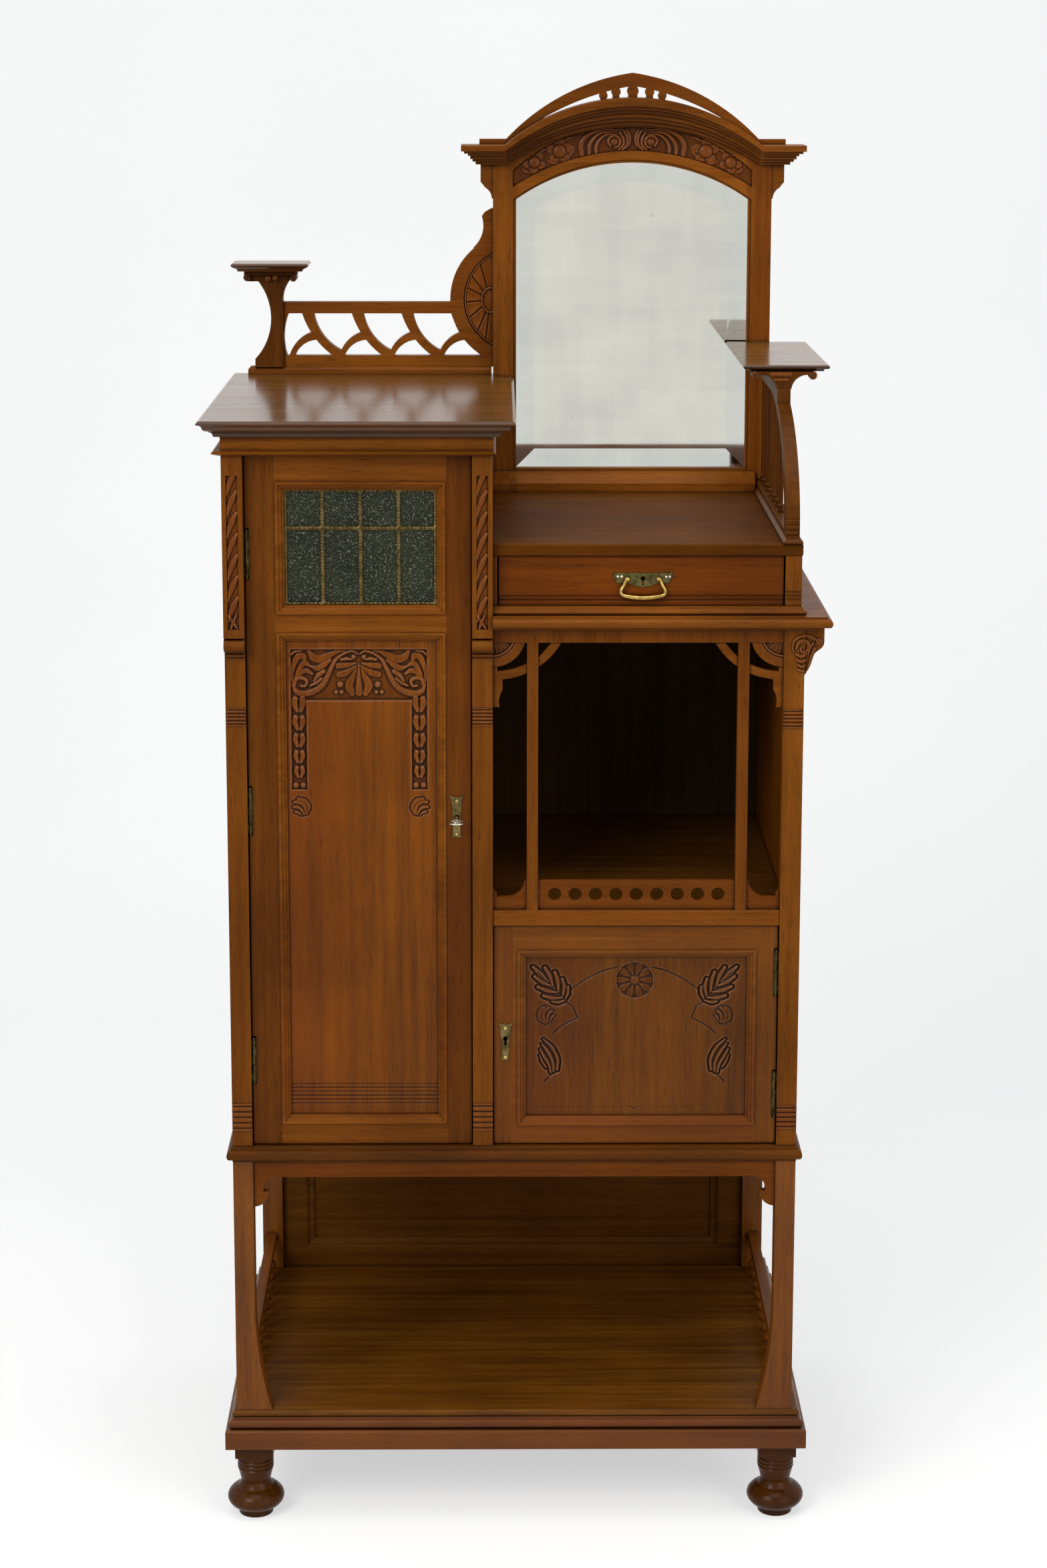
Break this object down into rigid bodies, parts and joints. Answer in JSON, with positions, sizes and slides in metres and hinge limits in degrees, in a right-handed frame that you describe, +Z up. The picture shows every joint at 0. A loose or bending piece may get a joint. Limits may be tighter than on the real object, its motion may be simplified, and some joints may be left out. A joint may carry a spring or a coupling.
{
  "type": "parlour_cabinet",
  "caption": "Tall walnut parlour cabinet with a leaded cupboard, a low cupboard, an open niche, a drawer and an arched mirror on turned feet.",
  "frame": {"origin": "bottom centre of the bounding box, on the floor", "axes": "+Z up, -Y out of the front, +X to the right seen from the front"},
  "size_m": [0.774, 0.53, 1.828],
  "materials": {
    "polished_walnut": "french polished walnut, red brown",
    "inner_walnut": "thin stain over walnut and its secondary wood",
    "aged_brass": "aged, rubbed bright on its edges",
    "dull_steel": "dull, handled",
    "mirror_plate": "silvered plate glass with a bevelled edge",
    "green_glass": "rippled green glass set in lead lights",
    "drawer_pine": "bare pine, darkened by age"
  },
  "bodies": {
    "cabinet": {"bun_feet": "polished_walnut", "plinth_board": "polished_walnut", "base_moulding": "polished_walnut", "bottom_shelf": "polished_walnut", "lower_legs": "polished_walnut", "lower_apron": "polished_walnut", "lower_back": "inner_walnut", "side_galleries": "polished_walnut", "waist_board": "polished_walnut", "pilasters": "polished_walnut", "right_post": "polished_walnut", "rope_mouldings": "polished_walnut", "side_boards": "polished_walnut", "back_boards": "inner_walnut", "tall_shelves": "inner_walnut", "niche_floor": "polished_walnut", "niche_rail_bars": "polished_walnut", "niche_fans": "polished_walnut", "niche_arcs": "polished_walnut", "pierced_strip": "polished_walnut", "post_corbel": "polished_walnut", "mid_board": "polished_walnut", "unit_moulding": "polished_walnut", "unit_sides": "polished_walnut", "unit_top": "polished_walnut", "cap_frieze": "polished_walnut", "cap_board": "polished_walnut", "gallery_base": "polished_walnut", "gallery_fret": "polished_walnut", "gallery_console": "polished_walnut", "gallery_shelf": "polished_walnut", "mirror_frame": "polished_walnut", "mirror_glass": "mirror_plate", "mirror_backboard": "drawer_pine", "mirror_cornice": "polished_walnut", "mirror_crest": "polished_walnut", "arm_frame": "polished_walnut", "arm_spindles": "inner_walnut", "arm_capital": "polished_walnut", "arm_shelf": "polished_walnut", "hinge_posts": "aged_brass"},
    "tall_door": {"tall_door_frame": "polished_walnut", "tall_door_panel": "polished_walnut", "leaded_glass": "green_glass", "glass_cames": "aged_brass", "tall_hinge_leaves": "aged_brass", "tall_lock": "dull_steel", "tall_escutcheon": "aged_brass"},
    "key": {"key": "dull_steel"},
    "lock_bolt": {"lock_bolt": "aged_brass"},
    "low_door": {"low_door_frame": "polished_walnut", "low_door_panel": "polished_walnut", "low_hinge_leaves": "aged_brass", "low_lock": "dull_steel", "low_escutcheon": "aged_brass"},
    "drawer": {"drawer_front": "polished_walnut", "drawer_box": "drawer_pine", "drawer_plate": "aged_brass"},
    "drawer_bail": {"drawer_bail": "aged_brass"}
  },
  "joints": [
    {"name": "tall_door_hinge", "type": "hinge", "parent": "cabinet", "child": "tall_door", "pos_m": [-0.3325, -0.218, 0.94], "axis": [0, 0, -1], "range_deg": [0, 100]},
    {"name": "low_door_hinge", "type": "hinge", "parent": "cabinet", "child": "low_door", "pos_m": [0.3185, -0.218, 0.646], "axis": [0, 0, 1], "range_deg": [0, 100]},
    {"name": "drawer_slide", "type": "slide", "parent": "cabinet", "child": "drawer", "axis": [0, -1, 0], "range_m": [0, 0.25]},
    {"name": "bail_pivot", "type": "hinge", "parent": "drawer", "child": "drawer_bail", "pos_m": [0.14875, -0.221, 1.226], "axis": [-1, 0, 0], "range_deg": [0, 85]},
    {"name": "key_turn", "type": "hinge", "parent": "tall_door", "child": "key", "pos_m": [-0.0785, -0.189, 0.928], "axis": [0, 1, 0], "range_deg": [0, 360]},
    {"name": "bolt_throw", "type": "slide", "parent": "tall_door", "child": "lock_bolt", "axis": [1, 0, 0], "range_m": [0, 0.007]}
  ],
  "couplings": [
    {"joint": "key_turn", "follows": "bolt_throw", "rad_per_m": 897.6}
  ]
}
